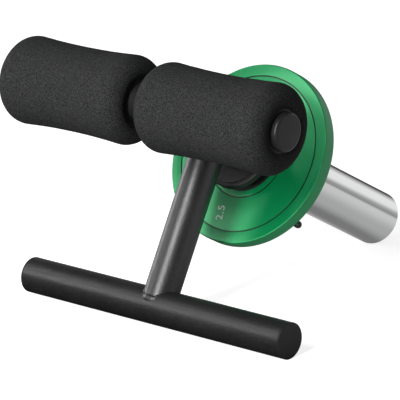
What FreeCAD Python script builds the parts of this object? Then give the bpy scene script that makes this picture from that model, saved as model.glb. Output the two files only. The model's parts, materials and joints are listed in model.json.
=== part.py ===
import FreeCAD, Part

import math
import os
from types import SimpleNamespace

import Sketcher

# A tibialis bar: a foot bar and a crossbar with two foam rollers, joined by a post and a neck,
# and a chromed sleeve that points backwards and carries a plate and a spring clip.
#
# The bar's own frame has X along the two crossbars, Y back along the sleeve and Z up the post,
# from the point where the post meets the foot bar. The row frame is the bar at rest: tilted
# about X until the foot bar and the sleeve's rear edge both touch the ground, +Z up.

# Driving sizes in millimetres. Names that end in share are parts of another size, and those
# that end in angle are degrees.
SIZES = {
    # Tube stock of the foot bar, the crossbar and the shaft, and how much less the post's radius is.
    "bar_dia": 31.8,
    "bar_wall": 2.6,
    "bar_span": 290,
    "post_step": 0.4,
    "post_rise": 156,
    "pad_reach": 93,
    # Clearances, and the overrun of every cut.
    "press_gap": 0.05,
    "run_gap": 0.3,
    "overrun": 5,
    # End discs of the foot bar.
    "foot_cap_head": 2.5,
    "foot_cap_bevel": 0.5,
    "cap_stem": 16,
    "cap_stem_lead": 1.5,
    # End caps of the crossbar, and the ring between the rollers.
    "pad_cap_rim": 0.9,
    "pad_cap_head": 7,
    "pad_cap_bevel": 1.1,
    "spacer_wall": 1,
    "spacer_width": 20.8,
    "spacer_open_angle": 130,
    # Roller liners and foam.
    "liner_wall": 2.4,
    "foam_end_dia": 77.6,
    "foam_waist_sink": 1.9,
    "foam_shoulder": 14,
    "foam_crest": 3,
    "foam_dish": 2.2,
    # Neck blade between the crossbar and the shaft.
    "web_thick": 8,
    "web_nose": 24,
    "web_height": 44,
    "web_tongue": 20,
    "shaft_lead": 50,
    "shaft_wall": 4,
    # Weld beads.
    "weld_leg": 2.6,
    "bead_tuck_share": 0.25,
    "bead_flare_share": 2.5,
    # Stop flange and its edge ring.
    "flange_start": 35,
    "flange_thick": 6,
    "flange_dia": 63.6,
    "bumper_step": 1,
    "bumper_lip": 2,
    "bumper_wall": 4.5,
    "bumper_round": 1.9,
    "bumper_back_bevel": 0.8,
    # Loading sleeve, its bushes and the parts that hold its rear end.
    "sleeve_dia": 50,
    "sleeve_wall": 3,
    "sleeve_end": 265,
    "sleeve_bevel": 1.5,
    "sleeve_recess": 12,
    "recess_wall": 2.1,
    "bush_width": 14,
    "end_disc_thick": 4,
    "clamp_gap": 0.5,
    "insert_length": 24,
    "bolt_dia": 10,
    "bolt_length": 26,
    "bolt_head_dia": 17.5,
    "bolt_head": 5.5,
    "bolt_round": 3,
    "hex_across": 6,
    "hex_depth": 3,
    "washer_dia": 21,
    "washer_thick": 2,
    # Plate.
    "plate_start": 53.7,
    "plate_thick": 13,
    "plate_dia": 164.6,
    "plate_bevel": 1,
    "plate_play": 0.8,
    "hub_dia": 69,
    "hub_sink": 0.6,
    "hub_bevel": 1,
    "rubber_edge": 5.5,
    "rubber_face": 2.85,
    "rim_groove_step": 10.9,
    "hub_groove_step": 5.7,
    "groove_width": 1.2,
    "groove_depth": 0.8,
    # Spring clip.
    "wire_dia": 5,
    "wire_space": 1.5,
    "wire_gap_least": 0.4,
    "handle_reach": 84.2,
    "handle_angle": -36.7,
    "handle_spread_angle": 85,
    "grip_wall": 0.9,
    "grip_length": 42,
}

COIL_TURNS = 3
BIARCS_A_TURN = 4


class Size:
    """A length or angle: its value beside the sheet formula that gives it."""

    def __init__(self, value, text):
        self.value = float(value)
        self.text = text

    def __add__(self, other):
        other = as_size(other)
        return Size(self.value + other.value, f"({self.text} + {other.text})")

    def __sub__(self, other):
        other = as_size(other)
        return Size(self.value - other.value, f"({self.text} - {other.text})")

    def __mul__(self, other):
        other = as_size(other)
        return Size(self.value * other.value, f"({self.text} * {other.text})")

    def __truediv__(self, other):
        other = as_size(other)
        return Size(self.value / other.value, f"({self.text} / {other.text})")

    def __neg__(self):
        return Size(-self.value, f"(0 - {self.text})")


def as_size(number):
    """Give a plain number the same form as a sheet size."""
    return number if isinstance(number, Size) else Size(number, f"{number}")


def root(size):
    """The square root of a size."""
    return Size(math.sqrt(size.value), f"sqrt({size.text})")


def sine(angle):
    """The sine of an angle in degrees."""
    return Size(math.sin(math.radians(angle.value)), f"sin({angle.text})")


def cosine(angle):
    """The cosine of an angle in degrees."""
    return Size(math.cos(math.radians(angle.value)), f"cos({angle.text})")


def arc_sine(ratio):
    """The angle in degrees whose sine is the ratio."""
    return Size(math.degrees(math.asin(ratio.value)), f"(asin({ratio.text}) / 1 deg)")


def arc_tangent(rise, run):
    """The angle in degrees of a slope."""
    text = f"(atan2({rise.text}; {run.text}) / 1 deg)"
    return Size(math.degrees(math.atan2(rise.value, run.value)), text)


doc = FreeCAD.newDocument("TibialisBar")
nodes = []


def make_sheet():
    """Write every driving size on its own row of the sheet, and give the sizes it then holds."""
    sheet = doc.addObject("Spreadsheet::Sheet", "Sizes")
    for row, (name, value) in enumerate(SIZES.items(), start=1):
        sheet.set(f"A{row}", name)
        sheet.set(f"B{row}", f"{value}")
        sheet.setAlias(f"B{row}", name)
    doc.recompute()
    return SimpleNamespace(**{name: Size(sheet.get(name), f"Sizes.{name}") for name in SIZES})


D = make_sheet()

# Radii and places that several pieces share.
BAR_R = D.bar_dia / 2
BAR_BORE_R = BAR_R - D.bar_wall
POST_R = BAR_R - D.post_step
SLEEVE_R = D.sleeve_dia / 2
SLEEVE_BORE_R = SLEEVE_R - D.sleeve_wall
FLANGE_BACK = D.flange_start + D.flange_thick
BUMPER_BACK = FLANGE_BACK + D.bumper_lip
DISC_START = D.sleeve_end - D.sleeve_recess
DISC_BACK = DISC_START + D.end_disc_thick
SHAFT_BACK = DISC_START - D.clamp_gap
SHAFT_BORE_R = BAR_R - D.shaft_wall
PLATE_BACK = D.plate_start + D.plate_thick
HALF_SPAN = D.bar_span / 2
LINER_BORE_R = BAR_R + D.run_gap
LINER_R = LINER_BORE_R + D.liner_wall
LINER_START = D.spacer_width / 2 + D.run_gap
LINER_END = HALF_SPAN - D.run_gap

# The bar rests on its foot bar and on the lower rear edge of its sleeve.
EDGE_Y = D.sleeve_end - D.sleeve_bevel
EDGE_Z = D.post_rise - SLEEVE_R
TILT = arc_tangent(EDGE_Z, EDGE_Y) + arc_sine(BAR_R / root(EDGE_Y * EDGE_Y + EDGE_Z * EDGE_Z))


def row_y(along, up):
    """How far back a point of the bar's own frame lies once the bar is tilted."""
    return along * cosine(TILT) + up * sine(TILT)


# Its front is the foam's, and its back is the upper edge of the sleeve's rear face.
ROW_FRONT = row_y(-D.pad_reach, D.post_rise) - D.foam_end_dia / 2
ROW_BACK = row_y(D.sleeve_end, D.post_rise + SLEEVE_R - D.sleeve_bevel)
ROW_SHIFT = -((ROW_FRONT + ROW_BACK) / 2)

# Ways that a piece's own X axis can point, as an axis to turn about and an angle.
RIGHT = ((0, 0, 1), as_size(0))
LEFT = ((0, 0, 1), as_size(180))
BACK = ((0, 0, 1), as_size(90))
HEAD_DOWN = ((1, 1, 0), as_size(180))
ORIGIN = (0, 0, 0)

def placement_formula(at, aim):
    """A placement's formula, from a point and a turn about an axis."""
    axis, angle = aim
    x, y, z = (as_size(part).text for part in at)
    vector = f"create(<<vector>>; {x}; {y}; {z})"
    around = f"create(<<vector>>; {axis[0]}; {axis[1]}; {axis[2]})"
    return f"create(<<placement>>; {vector}; create(<<rotation>>; {around}; {angle.text}))"


def make_rest():
    """The placement that lays the bar's own frame into the row frame, at rest on the ground."""
    rest = doc.addObject("App::Placement", "Rest")
    tilted = ((1, 0, 0), -TILT)
    rest.setExpression("Placement", placement_formula((0, ROW_SHIFT, BAR_R), tilted))


def keep(piece, label, at=ORIGIN, aim=RIGHT):
    """Name a sub-part, lay it in the row frame and list it for writing."""
    piece.Label = label
    piece.setExpression("Placement", "Rest.Placement * " + placement_formula(at, aim))
    nodes.append(piece)
    return piece


def pin_down(sketch, geometry, position, point, axes=(0, 1)):
    """Tie a point of a sketch line or arc to its sizes, of which any may be zero."""
    for axis in axes:
        size = as_size(point[axis])
        if size.text == "0":
            line = (-2, -1)[axis]
            sketch.addConstraint(Sketcher.Constraint("PointOnObject", geometry, position, line))
            continue
        kind = ("DistanceX", "DistanceY")[axis]
        datum = Sketcher.Constraint(kind, -1, 1, geometry, position, size.value)
        index = sketch.addConstraint(datum)
        sketch.setExpression(f"Constraints[{index}]", size.text)


def short_arc(start, end, centre):
    """The shorter arc from start to end about a centre, and whether it runs backwards."""
    first = math.atan2(start.y - centre.y, start.x - centre.x)
    last = math.atan2(end.y - centre.y, end.x - centre.x)
    backwards = (last - first) % (2 * math.pi) > math.pi
    if backwards:
        first, last = last, first
    circle = Part.Circle(centre, FreeCAD.Vector(0, 0, 1), (start - centre).Length)
    return Part.ArcOfCircle(circle, first, last), backwards


def draw(body, plane, outline):
    """Draw a closed outline on one of a body's planes.

    Each entry is a point that the outline runs to in a straight line, or a point and a centre
    that it runs to in an arc. A size that isn't zero becomes a driving dimension.
    """
    sketch = body.newObject("Sketcher::SketchObject", f"{body.Name}_outline")
    support = next(item for item in body.Origin.OriginFeatures if item.Role == plane)
    sketch.AttachmentSupport = [(support, "")]
    sketch.MapMode = "FlatFace"
    spots = [FreeCAD.Vector(as_size(p[0]).value, as_size(p[1]).value, 0) for p in outline]
    ends = []
    for index, entry in enumerate(outline):
        start, end = spots[index - 1], spots[index]
        backwards = False
        if len(entry) == 2:
            edge = Part.LineSegment(start, end)
        else:
            centre = FreeCAD.Vector(as_size(entry[2]).value, as_size(entry[3]).value, 0)
            edge, backwards = short_arc(start, end, centre)
        number = sketch.addGeometry(edge, False)
        ends.append((number, 2, 1) if backwards else (number, 1, 2))
    for index, entry in enumerate(outline):
        number, first, last = ends[index]
        before, _, before_last = ends[index - 1]
        joint = Sketcher.Constraint("Coincident", before, before_last, number, first)
        sketch.addConstraint(joint)
        pin_down(sketch, number, last, entry[:2])
        if len(entry) == 4:
            # With both ends tied, the centre can only slide square to the chord.
            chord = spots[index] - spots[index - 1]
            free = 0 if abs(chord.y) > abs(chord.x) else 1
            pin_down(sketch, number, 3, entry[2:], (free,))
    return sketch


def turned(name, outline, angle=as_size(360)):
    """A body of revolution: an outline of places along its own X axis and radii."""
    body = doc.addObject("PartDesign::Body", name)
    sketch = draw(body, "XY_Plane", outline)
    turn = body.newObject("PartDesign::Revolution", f"{name}_turn")
    turn.Profile = sketch
    turn.ReferenceAxis = (sketch, ["H_Axis"])
    turn.Midplane = True
    turn.setExpression("Angle", angle.text)
    return body


def tube_outline(length, outer, inner):
    """The outline of a plain tube or ring from zero to its length."""
    return [(0, inner), (0, outer), (length, outer), (length, inner)]


def rod(name, radius, length, at=ORIGIN, aim=((0, 0, 1), as_size(0))):
    """A cylinder along its own Z axis, in the bar's own frame."""
    cylinder = doc.addObject("Part::Cylinder", name)
    cylinder.setExpression("Radius", radius.text)
    cylinder.setExpression("Height", length.text)
    cylinder.setExpression("Placement", placement_formula(at, aim))
    return cylinder


def block(name, size, at):
    """A box from its low corner, in the bar's own frame."""
    box = doc.addObject("Part::Box", name)
    for side, length in zip(("Length", "Width", "Height"), size):
        box.setExpression(side, length.text)
    box.setExpression("Placement", placement_formula(at, RIGHT))
    return box


def joined(kind, name, pieces):
    """A fusion or a common volume of several pieces."""
    result = doc.addObject(f"Part::Multi{kind}", name)
    result.Shapes = pieces
    return result


def cut(name, base, tools):
    """A piece less one or more others."""
    result = doc.addObject("Part::Cut", name)
    result.Base = base
    result.Tool = tools[0] if len(tools) == 1 else joined("Fuse", f"{name}_tools", tools)
    return result


# Turns of a cylinder's own Z axis to the bar's X and Y axes.
Z_TO_RIGHT = ((0, 1, 0), as_size(90))
Z_TO_BACK = ((1, 0, 0), as_size(-90))


def cross_rod(name, aim, height, radius=BAR_R):
    """A cylinder square to the post, at a height on it, that is longer than it on both sides."""
    half = POST_R + D.overrun
    ends = {Z_TO_RIGHT: (-half, 0, height), Z_TO_BACK: (0, -half, height)}
    return rod(name, radius, half * 2, ends[aim], aim)


def make_bars():
    """The foot bar with its flush end discs, and the crossbar with its bevelled caps."""
    for name, height, reach in (("lower_bar", 0, 0), ("crossbar", D.post_rise, -D.pad_reach)):
        tube = turned(name, tube_outline(D.bar_span, BAR_R, BAR_BORE_R))
        keep(tube, name, (-HALF_SPAN, reach, height))
    stem_r = BAR_BORE_R - D.press_gap
    caps = (
        ("lower_bar_cap", BAR_R, D.foot_cap_head, D.foot_cap_bevel, 0, 0),
        ("crossbar_cap", BAR_R + D.pad_cap_rim, D.pad_cap_head, D.pad_cap_bevel,
         -D.pad_reach, D.post_rise),
    )
    for name, head_r, head, bevel, reach, height in caps:
        outline = [
            (0, 0),
            (0, stem_r - D.cap_stem_lead),
            (D.cap_stem_lead, stem_r),
            (D.cap_stem, stem_r),
            (D.cap_stem, head_r),
            (D.cap_stem + head - bevel, head_r),
            (D.cap_stem + head, head_r - bevel),
            (D.cap_stem + head, 0),
        ]
        start = HALF_SPAN - D.cap_stem
        keep(turned(f"{name}_r", outline), f"{name}_right", (start, reach, height), RIGHT)
        keep(turned(f"{name}_l", outline), f"{name}_left", (-start, reach, height), LEFT)


def saddle_bead(name):
    """A bead round the post's foot, where it saddles the foot bar, with a flared lower edge."""
    outer = POST_R + D.weld_leg
    top = BAR_R + D.weld_leg
    flare = doc.addObject("Part::Cone", f"{name}_flare")
    flare.setExpression("Radius1", (POST_R - D.weld_leg * D.bead_tuck_share).text)
    flare.setExpression("Radius2", outer.text)
    flare_top = D.weld_leg * D.bead_flare_share
    flare.setExpression("Height", flare_top.text)
    ring = rod(f"{name}_ring", outer, top - flare_top, (0, 0, flare_top))
    skin = cross_rod(f"{name}_skin", Z_TO_RIGHT, 0, top)
    solid = joined("Common", f"{name}_solid", [joined("Fuse", f"{name}_outer", [flare, ring]), skin])
    walls = [rod(f"{name}_post", POST_R, D.post_rise), cross_rod(f"{name}_bar", Z_TO_RIGHT, 0)]
    return cut(name, solid, walls)


def make_post():
    """The post, coped over the foot bar and under the shaft, with a bead at each end."""
    solid = rod("post_outer", POST_R, D.post_rise)
    bore = rod("post_bore", POST_R - D.bar_wall, D.post_rise)
    copes = [cross_rod("foot_cope", Z_TO_RIGHT, 0), cross_rod("head_cope", Z_TO_BACK, D.post_rise)]
    keep(cut("post_tube", solid, [bore] + copes), "post")
    keep(saddle_bead("foot_bead"), "weld_post_foot")
    # Upside down and a quarter turn round, the same bead fits under the shaft.
    keep(saddle_bead("head_bead"), "weld_post_head", (0, 0, D.post_rise), HEAD_DOWN)


def make_shaft():
    """The shaft tube, slotted at its front end for the neck blade."""
    tube = turned("shaft_tube", tube_outline(D.shaft_lead + SHAFT_BACK, BAR_R, SHAFT_BORE_R))
    wide = D.web_thick + D.press_gap * 2
    slot = block("shaft_slot", (D.web_tongue + D.overrun, wide, D.web_height),
                 (-D.overrun, -(wide / 2), -(D.web_height / 2)))
    keep(cut("slotted_tube", tube, [slot]), "shaft", (0, -D.shaft_lead, D.post_rise), BACK)


def make_neck():
    """The blade between the rollers, coped to the crossbar, and its weld beads."""
    nose = D.web_nose / 2
    nose_back = root(BAR_R * BAR_R - nose * nose)
    tall = D.web_height / 2
    shaft_front = D.pad_reach - D.shaft_lead
    tongue_back = shaft_front + D.web_tongue
    blade = doc.addObject("PartDesign::Body", "blade")
    sketch = draw(blade, "YZ_Plane", [
        (nose_back, -nose),
        (nose_back, nose, 0, 0),
        (shaft_front, tall),
        (tongue_back, tall),
        (tongue_back, -tall),
        (shaft_front, -tall),
    ])
    pad = blade.newObject("PartDesign::Pad", "blade_pad")
    pad.Profile = sketch
    pad.SideType = "Symmetric"
    pad.setExpression("Length", D.web_thick.text)
    keep(blade, "neck_web", (0, -D.pad_reach, D.post_rise))

    wide = D.web_thick + D.weld_leg * 2
    start = (0, -D.shaft_lead, D.post_rise)
    skin = rod("neck_bead_skin", BAR_R + D.weld_leg, D.web_tongue, start, Z_TO_BACK)
    slab = block("neck_bead_slab", (wide, D.web_tongue, D.web_height),
                 (-(wide / 2), -D.shaft_lead, D.post_rise - tall))
    core = rod("neck_bead_shaft", BAR_R, D.web_tongue, start, Z_TO_BACK)
    blade_slab = block("neck_bead_blade", (D.web_thick, D.web_tongue, D.web_height),
                       (-(D.web_thick / 2), -D.shaft_lead, D.post_rise - tall))
    beads = cut("neck_beads", joined("Common", "neck_bead_block", [skin, slab]),
                [core, blade_slab])
    keep(beads, "weld_neck")

    side = (-(wide / 2), -D.pad_reach, D.post_rise)
    skin = rod("pad_bead_skin", BAR_R + D.weld_leg, wide, side, Z_TO_RIGHT)
    slab = block("pad_bead_slab", (wide, D.bar_dia, D.web_nose),
                 (-(wide / 2), -D.pad_reach, D.post_rise - nose))
    core = rod("pad_bead_bar", BAR_R, wide, side, Z_TO_RIGHT)
    blade_slab = block("pad_bead_blade", (D.web_thick, D.bar_dia, D.web_nose),
                       (-(D.web_thick / 2), -D.pad_reach, D.post_rise - nose))
    beads = cut("pad_beads", joined("Common", "pad_bead_block", [skin, slab]),
                [core, blade_slab])
    keep(beads, "weld_crossbar")


def make_spacer():
    """The C-shaped ring that keeps the rollers apart and straddles the neck at the back."""
    outline = tube_outline(D.spacer_width, BAR_R + D.spacer_wall, BAR_R + D.press_gap)
    ring = turned("spacer_ring", outline, -D.spacer_open_angle + 360)
    keep(ring, "roller_spacer", (D.spacer_width / 2, -D.pad_reach, D.post_rise), LEFT)


def make_liners():
    """The plastic tubes that turn on the crossbar inside the foam."""
    outline = tube_outline(LINER_END - LINER_START, LINER_R, LINER_BORE_R)
    for side, sign, aim in (("right", 1, RIGHT), ("left", -1, LEFT)):
        at = (LINER_START * sign, -D.pad_reach, D.post_rise)
        keep(turned(f"liner_{side}", outline), f"roller_liner_{side}", at, aim)


def foam_outline():
    """Half the section of a waisted roller with rounded shoulders and dished ends.

    The dish, the crest of each end, the shoulders and the long hollow of the waist are all
    tangent to each other.
    """
    half = (LINER_END - LINER_START) / 2
    bore = LINER_R + D.press_gap
    waist_r = D.foam_end_dia / 2 - D.foam_waist_sink
    shoulder, crest = D.foam_shoulder, D.foam_crest
    end_x = half + D.foam_dish
    # Centres of the shoulder, which the crest shares a height with, and of the hollow.
    middle_x = end_x - shoulder
    middle_r = D.foam_end_dia / 2 - shoulder
    low = middle_r - waist_r
    hollow = (middle_x * middle_x + low * low - shoulder * shoulder) / ((shoulder + low) * 2)
    share = shoulder / (hollow + shoulder)
    touch_x = middle_x - middle_x * share
    touch_r = middle_r + (hollow - low) * share
    # The dish is the straight line from the bore's end that touches the crest.
    crest_x = end_x - crest
    run, drop = half - crest_x, middle_r - bore
    square = run * run + drop * drop
    off = crest * root(square - crest * crest)
    dish_x = crest_x + (crest * crest * run + off * drop) / square
    dish_r = middle_r - (crest * crest * drop - off * run) / square
    return [
        (half, bore),
        (-half, bore),
        (-dish_x, dish_r),
        (-end_x, middle_r, -crest_x, middle_r),
        (-touch_x, touch_r, -middle_x, middle_r),
        (touch_x, touch_r, 0, waist_r + hollow),
        (end_x, middle_r, middle_x, middle_r),
        (dish_x, dish_r, crest_x, middle_r),
    ]


def make_foam():
    """The two foam rollers."""
    middle = (LINER_START + LINER_END) / 2
    for side, sign in (("right", 1), ("left", -1)):
        roller = turned(f"foam_{side}", foam_outline())
        keep(roller, f"foam_roller_{side}", (middle * sign, -D.pad_reach, D.post_rise))


def make_flange():
    """The stop flange, its bead and the ring that is stretched over its edge."""
    flange = turned("stop", tube_outline(D.flange_thick, D.flange_dia / 2, BAR_R))
    keep(flange, "flange", (0, D.flange_start, D.post_rise), BACK)
    bead = turned("stop_bead", [(0, BAR_R), (D.weld_leg, BAR_R + D.weld_leg),
                                (D.weld_leg, BAR_R)])
    keep(bead, "weld_flange", (0, D.flange_start - D.weld_leg, D.post_rise), BACK)
    deep = D.flange_thick - D.bumper_step
    back = deep + D.bumper_lip
    outer = D.flange_dia / 2 + D.bumper_wall
    seat = D.flange_dia / 2 + D.press_gap
    bumper = turned("edge_ring", [
        (0, seat),
        (0, outer - D.bumper_round),
        (D.bumper_round, outer, D.bumper_round, outer - D.bumper_round),
        (back - D.bumper_back_bevel, outer),
        (back, outer - D.bumper_back_bevel),
        (back, SLEEVE_R + D.press_gap),
        (deep, SLEEVE_R + D.press_gap),
        (deep, seat),
    ])
    keep(bumper, "flange_bumper", (0, D.flange_start + D.bumper_step, D.post_rise), BACK)


def make_sleeve():
    """The chromed sleeve, its two bushes and the disc, plug, washer and screw at its end."""
    length = D.sleeve_end - FLANGE_BACK
    step = length - D.sleeve_recess
    recess_r = SLEEVE_R - D.recess_wall
    sleeve = turned("chrome_tube", [
        (0, SLEEVE_BORE_R),
        (0, SLEEVE_R),
        (length - D.sleeve_bevel, SLEEVE_R),
        (length, SLEEVE_R - D.sleeve_bevel),
        (length, recess_r),
        (step, recess_r),
        (step, SLEEVE_BORE_R),
    ])
    keep(sleeve, "sleeve", (0, FLANGE_BACK, D.post_rise), BACK)
    bush = tube_outline(D.bush_width, SLEEVE_BORE_R - D.press_gap, BAR_R + D.press_gap)
    rear = SHAFT_BACK - D.bush_width
    for name, start in (("sleeve_bush_front", FLANGE_BACK), ("sleeve_bush_rear", rear)):
        keep(turned(f"{name}_ring", bush), name, (0, start, D.post_rise), BACK)

    screw_r = D.bolt_dia / 2
    disc = tube_outline(D.end_disc_thick, recess_r - D.press_gap, screw_r + D.run_gap)
    keep(turned("end_disc", disc), "sleeve_end_disc", (0, DISC_START, D.post_rise), BACK)
    plug = tube_outline(D.insert_length, SHAFT_BORE_R - D.press_gap, screw_r + D.press_gap)
    keep(turned("plug", plug), "shaft_insert",
         (0, SHAFT_BACK - D.insert_length, D.post_rise), BACK)
    washer = tube_outline(D.washer_thick, D.washer_dia / 2, screw_r + D.run_gap)
    keep(turned("washer", washer), "sleeve_washer", (0, DISC_BACK, D.post_rise), BACK)
    head_r = D.bolt_head_dia / 2
    screw = turned("screw", [
        (0, 0),
        (0, screw_r),
        (D.bolt_length, screw_r),
        (D.bolt_length, head_r),
        (D.bolt_length + D.bolt_head - D.bolt_round, head_r),
        (D.bolt_length + D.bolt_head, head_r - D.bolt_round),
        (D.bolt_length + D.bolt_head, 0),
    ])
    socket = doc.addObject("Part::Prism", "hex_socket")
    socket.Polygon = 6
    socket.setExpression("Circumradius", (D.hex_across / root(as_size(3))).text)
    socket.setExpression("Height", (D.hex_depth + D.overrun).text)
    floor = D.bolt_length + D.bolt_head - D.hex_depth
    socket.setExpression("Placement", placement_formula((floor, 0, 0), Z_TO_RIGHT))
    under_head = DISC_BACK + D.washer_thick
    keep(cut("hex_screw", screw, [socket]), "sleeve_bolt",
         (0, under_head - D.bolt_length, D.post_rise), BACK)


def face_grooves(face, inward):
    """The two ring grooves of one face of the plate, from the hub out to the rim."""
    points = []
    for middle in (D.hub_dia / 2 + D.hub_groove_step, D.plate_dia / 2 - D.rim_groove_step):
        low = middle - D.groove_width / 2
        high = middle + D.groove_width / 2
        floor = face + inward
        points += [(face, low), (floor, low), (floor, high), (face, high)]
    return points


def make_plate():
    """The small plate: a green rubber cover over a steel disc with a hub."""
    rim = D.plate_dia / 2
    hub = D.hub_dia / 2
    core_r = rim - D.rubber_edge
    low = D.rubber_face
    high = D.plate_thick - D.rubber_face
    front = face_grooves(as_size(0), D.groove_depth)
    rear = face_grooves(D.plate_thick, -D.groove_depth)
    outline = [(0, hub)] + front + [
        (0, rim - D.plate_bevel),
        (D.plate_bevel, rim),
        (D.plate_thick - D.plate_bevel, rim),
        (D.plate_thick, rim - D.plate_bevel),
    ] + rear[::-1] + [
        (D.plate_thick, hub),
        (high, hub),
        (high, core_r),
        (low, core_r),
        (low, hub),
    ]
    at = (0, D.plate_start, D.post_rise)
    keep(turned("rubber_cover", outline), "plate_cover", at, BACK)
    bore = SLEEVE_R + D.plate_play / 2
    hub_back = D.plate_thick - D.hub_sink
    core = turned("steel_core", [
        (D.hub_sink, bore + D.hub_bevel),
        (D.hub_sink, hub),
        (low, hub),
        (low, core_r),
        (high, core_r),
        (high, hub),
        (hub_back, hub),
        (hub_back, bore + D.hub_bevel),
        (hub_back - D.hub_bevel, bore),
        (D.hub_sink + D.hub_bevel, bore),
    ])
    keep(core, "plate_core", at, BACK)


WIRE_R = D.wire_dia / 2
GRIP_R = WIRE_R + D.grip_wall
PITCH = D.wire_dia + D.wire_space
COIL_R = SLEEVE_R + D.run_gap + WIRE_R
HANDLE_LONG = root(D.handle_reach * D.handle_reach - COIL_R * COIL_R)
HANDLE_LEAN = arc_tangent(HANDLE_LONG, COIL_R)
HANDLE_Y = PLATE_BACK + D.run_gap + GRIP_R
COIL_FIRST = D.handle_angle - HANDLE_LEAN
COIL_LAST = D.handle_angle - D.handle_spread_angle + HANDLE_LEAN
COIL_SWEEP = COIL_FIRST - COIL_LAST + 360 * COIL_TURNS
COIL_DEPTH = PITCH * (COIL_SWEEP / 360 - 1 / BIARCS_A_TURN)


def coil_depth(turns, whole):
    """How far back the wire has climbed, easing in and out over one part of a turn."""
    ease = 1 / BIARCS_A_TURN
    pitch = PITCH.value
    if turns < ease:
        return pitch * turns * turns / (2 * ease)
    if turns > whole - ease:
        left = whole - turns
        return pitch * (whole - ease) - pitch * left * left / (2 * ease)
    return pitch * (turns - ease / 2)


def coil_slope(turns, whole):
    """The climb for each turn at a point of the wire."""
    ease = 1 / BIARCS_A_TURN
    return PITCH.value * max(0, min(1, turns / ease, (whole - turns) / ease))


def coil_point(turns, whole):
    """A point of the coil's centre line and its direction, clockwise seen from the front."""
    angle = math.radians(COIL_FIRST.value - 360 * turns)
    radius = COIL_R.value
    point = FreeCAD.Vector(radius * math.cos(angle), coil_depth(turns, whole),
                           radius * math.sin(angle))
    around = FreeCAD.Vector(math.sin(angle), 0, -math.cos(angle)) * (2 * math.pi * radius)
    return point, (around + FreeCAD.Vector(0, coil_slope(turns, whole), 0)).normalize()


def arc_middle(start, direction, end):
    """The middle of the arc that leaves a point in a direction and ends at another."""
    chord = end - start
    along = FreeCAD.Vector(chord).normalize()
    bulge = (direction - along * direction.dot(along)).normalize()
    return start + chord / 2 + bulge * (chord.Length / 2 * math.tan(direction.getAngle(along) / 2))


def biarc(start, leaving, end, arriving):
    """Two arcs that touch where they meet, between two points and their directions."""
    chord = end - start
    square = 2 * (leaving.dot(arriving) - 1)
    linear = -2 * chord.dot(leaving + arriving)
    inner = linear * linear - 4 * square * chord.dot(chord)
    reach = (-linear - math.sqrt(inner)) / (2 * square)
    meeting = (start + end + (leaving - arriving) * reach) / 2
    return [
        Part.Arc(start, arc_middle(start, leaving, meeting), meeting).toShape(),
        Part.Arc(meeting, arc_middle(end, arriving * -1, meeting), end).toShape(),
    ]


def wire_gap(path):
    """The least gap between turns of the wire, measured on points along its centre line."""
    step = D.wire_dia.value / 10
    points = path.discretize(Distance=step)
    half_turn = int(math.pi * COIL_R.value / step)
    least = min(
        points[low].distanceToPoint(points[high])
        for low in range(len(points))
        for high in range(low + half_turn, len(points))
    )
    return least - D.wire_dia.value


def make_collar():
    """The spring clip: two crossed handles and a coil of one unbroken wire, with grips."""
    whole = COIL_SWEEP.value / 360
    count = math.ceil(whole * BIARCS_A_TURN)
    stops = [coil_point(whole * index / count, whole) for index in range(count + 1)]
    first, leaving = stops[0]
    last, arriving = stops[-1]
    reach = (HANDLE_LONG - GRIP_R).value
    edges = [Part.LineSegment(first - leaving * reach, first).toShape()]
    for (start, out), (end, into) in zip(stops, stops[1:]):
        edges += biarc(start, out, end, into)
    edges.append(Part.LineSegment(last, last + arriving * reach).toShape())
    path = Part.Wire(edges)
    gap = wire_gap(path)
    print(f"spring clip: {whole:.2f} turns, least gap of the wire to itself {gap:.2f} mm")
    if gap < D.wire_gap_least.value:
        raise ValueError("the turns of the clip's wire touch")
    section = Part.Circle(first - leaving * reach, leaving, WIRE_R.value).toShape()
    spring = doc.addObject("Part::Feature", "clip_wire")
    spring.Shape = path.makePipeShell([Part.Wire(section)], True, False)
    keep(spring, "collar_spring", (0, HANDLE_Y, D.post_rise))

    bore = WIRE_R + D.press_gap
    outline = [
        (0, bore),
        (0, GRIP_R),
        (D.grip_length - GRIP_R, GRIP_R),
        (D.grip_length, 0, D.grip_length - GRIP_R, 0),
        (D.grip_length - GRIP_R, 0),
        (D.grip_length - GRIP_R, bore),
    ]
    handles = (
        ("front", COIL_FIRST, COIL_FIRST + 90, as_size(0)),
        ("rear", COIL_LAST, COIL_LAST - 90, COIL_DEPTH),
    )
    start = HANDLE_LONG - D.grip_length
    for name, seat, way, depth in handles:
        at = (
            COIL_R * cosine(seat) + start * cosine(way),
            HANDLE_Y + depth,
            D.post_rise + COIL_R * sine(seat) + start * sine(way),
        )
        grip = turned(f"dip_{name}", outline)
        keep(grip, f"collar_grip_{name}", at, ((0, 1, 0), -way))


def check_and_write():
    """Stop on any failed object or bad shape, then write each sub-part to its own file."""
    doc.recompute()
    for item in doc.Objects:
        if "Invalid" in item.State or "Error" in item.State:
            raise RuntimeError(f"{item.Label} failed: {item.State}")
    for node in nodes:
        if node.Shape.isNull() or not node.Shape.isValid() or not node.Shape.Solids:
            raise RuntimeError(f"{node.Label} has no valid solid")
    os.makedirs("parts", exist_ok=True)
    for node in nodes:
        node.Shape.exportStep(f"parts/{node.Label}.step")
        print(f"{node.Label}: {len(node.Shape.Solids)} solid, {node.Shape.Volume:.0f} mm3")


make_rest()
make_bars()
make_post()
make_shaft()
make_neck()
make_spacer()
make_liners()
make_foam()
make_flange()
make_sleeve()
make_plate()
make_collar()
check_and_write()
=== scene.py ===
import json
import logging
import math
from dataclasses import dataclass, field
from enum import Enum
from functools import reduce
from typing import Callable, Optional, Sequence

import bmesh
import bpy
from mathutils import Matrix, Vector, noise


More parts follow.
